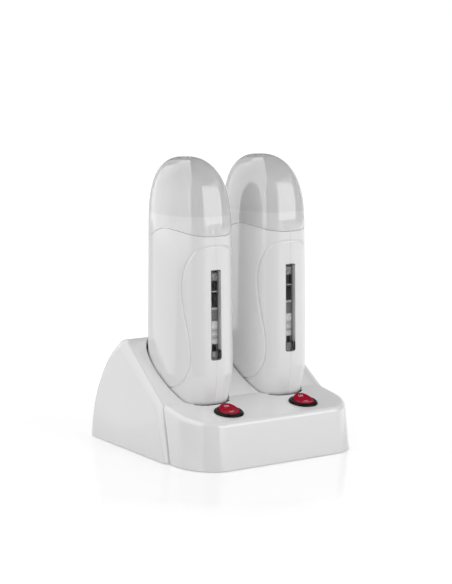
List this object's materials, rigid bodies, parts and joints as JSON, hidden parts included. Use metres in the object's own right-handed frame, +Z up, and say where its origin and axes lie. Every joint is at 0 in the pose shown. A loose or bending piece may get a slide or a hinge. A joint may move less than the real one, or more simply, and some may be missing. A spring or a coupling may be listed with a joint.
{
  "type": "roll on wax heater",
  "caption": "Docking base with rocker switches that holds upright hand-held heaters for roll-on wax cartridges, each with a lift-off translucent cap.",
  "frame": {"origin": "centre of the footprint, at the table under the rubber feet", "axes": "+X towards the right-hand handpiece seen from the front, +Y towards the tall rear of the base, +Z up"},
  "size_m": [0.1586, 0.1631, 0.228],
  "materials": {
    "white": "gloss white ABS",
    "white_inside": "plain white ABS",
    "clear_cap": "clear grey-tinted polycarbonate",
    "clear": "clear polycarbonate",
    "red": "gloss red nylon",
    "nylon": "natural nylon",
    "black": "black moulding",
    "rubber": "black rubber",
    "brass": "plated brass",
    "steel": "zinc-plated",
    "aluminium": "drawn aluminium",
    "heater": "brown insulated heater plate"
  },
  "bodies": {
    "base": {"base_shell": "white", "base_plate": "white_inside", "base_feet": "rubber", "base_screws": "steel", "cord_bush": "rubber", "cord_clamp": "white_inside", "terminal_block": "black", "inner_screws": "steel", "switch_body_left": "black", "switch_body_right": "black", "switch_terminals_left": "brass", "switch_terminals_right": "brass", "dock_block_left": "black", "dock_block_right": "black", "dock_pins_left": "brass", "dock_pins_right": "brass"},
    "handpiece_left": {"plain_half_left": "white", "screwed_half_left": "white", "window_left": "clear", "collar_left": "white_inside", "well_left": "aluminium", "heater_left": "heater", "heater_clip_left": "steel", "thermostat_left": "black", "contact_block_left": "black", "contact_sleeves_left": "brass", "shell_screws_left": "steel"},
    "cap_left": {"cap_left": "clear_cap"},
    "rocker_left": {"rocker_left": "red", "plunger_left": "nylon"},
    "seesaw_left": {"seesaw_left": "brass"},
    "handpiece_right": {"plain_half_right": "white", "screwed_half_right": "white", "window_right": "clear", "collar_right": "white_inside", "well_right": "aluminium", "heater_right": "heater", "heater_clip_right": "steel", "thermostat_right": "black", "contact_block_right": "black", "contact_sleeves_right": "brass", "shell_screws_right": "steel"},
    "cap_right": {"cap_right": "clear_cap"},
    "rocker_right": {"rocker_right": "red", "plunger_right": "nylon"},
    "seesaw_right": {"seesaw_right": "brass"}
  },
  "joints": [
    {"name": "handpiece_lift_left", "type": "slide", "parent": "base", "child": "handpiece_left", "axis": [0, 0, 1], "range_m": [0, 0.08]},
    {"name": "cap_lift_left", "type": "slide", "parent": "handpiece_left", "child": "cap_left", "axis": [0, 0, 1], "range_m": [0, 0.06]},
    {"name": "switch_left", "type": "hinge", "parent": "base", "child": "rocker_left", "pos_m": [-0.0345, -0.05675, 0.03908], "axis": [1, 0, 0], "range_deg": [-24, 0]},
    {"name": "contact_left", "type": "hinge", "parent": "base", "child": "seesaw_left", "pos_m": [-0.0345, -0.05518, 0.02896], "axis": [1, 0, 0], "range_deg": [0, 12]},
    {"name": "handpiece_lift_right", "type": "slide", "parent": "base", "child": "handpiece_right", "axis": [0, 0, 1], "range_m": [0, 0.08]},
    {"name": "cap_lift_right", "type": "slide", "parent": "handpiece_right", "child": "cap_right", "axis": [0, 0, 1], "range_m": [0, 0.06]},
    {"name": "switch_right", "type": "hinge", "parent": "base", "child": "rocker_right", "pos_m": [0.0345, -0.05675, 0.03908], "axis": [1, 0, 0], "range_deg": [-24, 0]},
    {"name": "contact_right", "type": "hinge", "parent": "base", "child": "seesaw_right", "pos_m": [0.0345, -0.05518, 0.02896], "axis": [1, 0, 0], "range_deg": [0, 12]}
  ],
  "couplings": [
    {"joint": "contact_left", "follows": "switch_left", "ratio": -0.5},
    {"joint": "contact_right", "follows": "switch_right", "ratio": -0.5}
  ]
}
